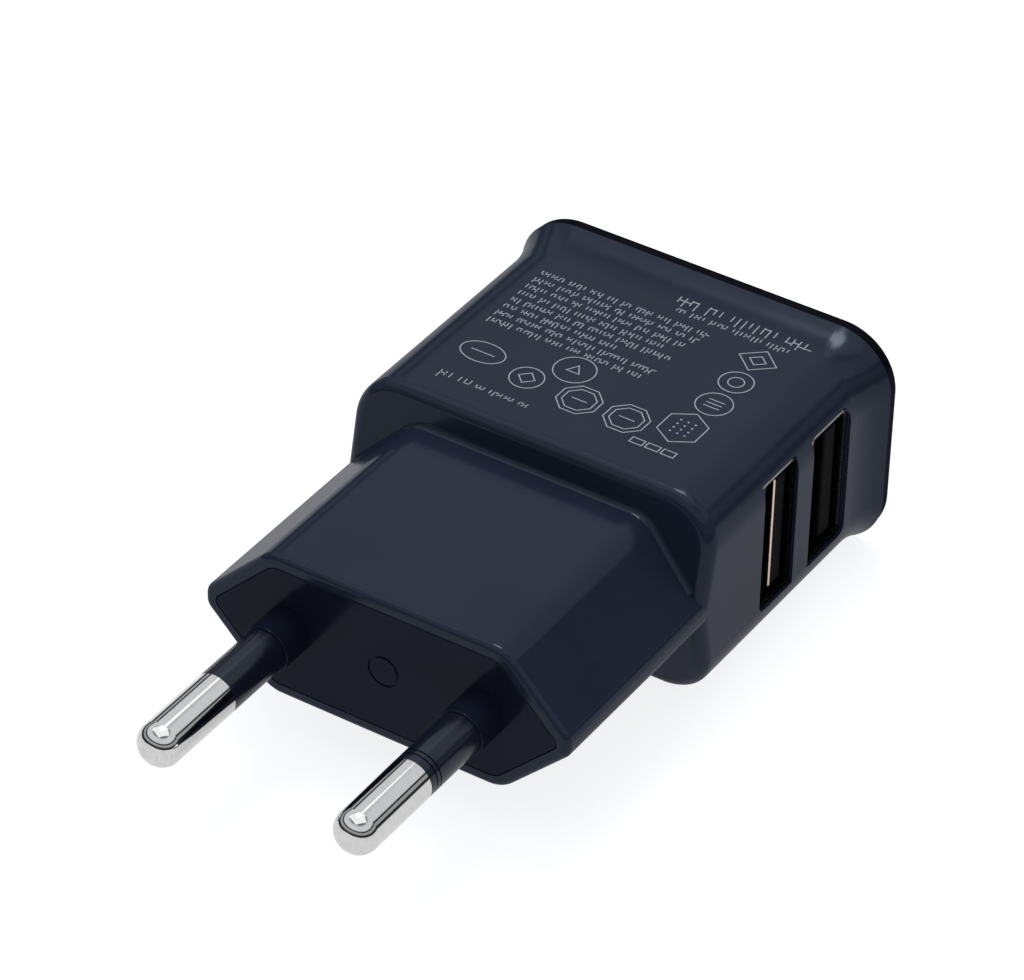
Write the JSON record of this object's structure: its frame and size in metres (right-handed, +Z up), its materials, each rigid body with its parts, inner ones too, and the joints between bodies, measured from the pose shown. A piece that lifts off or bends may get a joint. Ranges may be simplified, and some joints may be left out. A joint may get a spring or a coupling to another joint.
{
  "type": "usb wall charger",
  "caption": "Compact black wall charger with a fixed flat two-pin plug nose, a rounded box body flared at the rear, and two USB-A ports side by side in one side.",
  "frame": {"origin": "middle of the plug face, halfway between the two pins", "axes": "+X towards the side with the USB ports, +Y from the plug face into the body, +Z up with the charger lying on its broad face"},
  "size_m": [0.037, 0.0692, 0.0218],
  "materials": {
    "housing_plastic": "satin moulded polycarbonate, near black",
    "cap_plastic": "satin moulded polycarbonate, near black",
    "face_plastic": "glossy moulded polycarbonate, near black",
    "sleeve_plastic": "smooth insulating sleeve, black",
    "nickel_pin": "bright nickel plate with fine turning lines",
    "port_steel": "plated spring steel",
    "tongue_plastic": "black nylon",
    "contact_brass": "plated copper alloy",
    "circuit_board": "green solder mask",
    "ferrite": "matt ferrite",
    "component_black": "moulded epoxy",
    "winding_tape": "enamelled copper wire under yellow polyester tape",
    "tinned_metal": "tinned wire",
    "capacitor_sleeve": "shrunk sleeve, dark blue",
    "resistor_body": "flameproof lacquer, grey green",
    "disc_blue": "blue epoxy coating",
    "barrier_sheet": "aramid paper"
  },
  "bodies": {
    "charger": {"main_housing": "housing_plastic", "end_cap": "cap_plastic", "pin_carrier": "face_plastic", "left_pin": "nickel_pin", "right_pin": "nickel_pin", "left_pin_sleeve": "sleeve_plastic", "right_pin_sleeve": "sleeve_plastic", "front_port_shell": "port_steel", "rear_port_shell": "port_steel", "front_port_tongue": "tongue_plastic", "rear_port_tongue": "tongue_plastic", "left_contact_strip": "contact_brass", "right_contact_strip": "contact_brass", "main_board": "circuit_board", "front_port_terminals": "contact_brass", "rear_port_terminals": "contact_brass", "transformer_upper_core": "ferrite", "transformer_lower_core": "ferrite", "transformer_bobbin": "component_black", "transformer_winding": "winding_tape", "transformer_pins": "tinned_metal", "left_input_capacitor": "capacitor_sleeve", "right_input_capacitor": "capacitor_sleeve", "front_output_capacitor": "capacitor_sleeve", "rear_output_capacitor": "capacitor_sleeve", "fusible_resistor": "resistor_body", "filter_inductor": "ferrite", "safety_capacitor": "disc_blue", "bridge_rectifier": "component_black", "controller_chip": "component_black", "optocoupler": "component_black", "output_diode": "component_black", "chip_components": "component_black", "insulating_sheet": "barrier_sheet"},
    "front_contacts": {"front_port_contacts": "contact_brass"},
    "rear_contacts": {"rear_port_contacts": "contact_brass"}
  },
  "joints": [
    {"name": "front_contact_press", "type": "hinge", "parent": "charger", "child": "front_contacts", "pos_m": [0.00685, 0.03297, 0.00065], "axis": [0, 0, 1], "range_deg": [0, 3], "stiffness_Nm_per_rad": 0.32},
    {"name": "rear_contact_press", "type": "hinge", "parent": "charger", "child": "rear_contacts", "pos_m": [0.00685, 0.04122, 0.00065], "axis": [0, 0, 1], "range_deg": [0, 3], "stiffness_Nm_per_rad": 0.32}
  ]
}
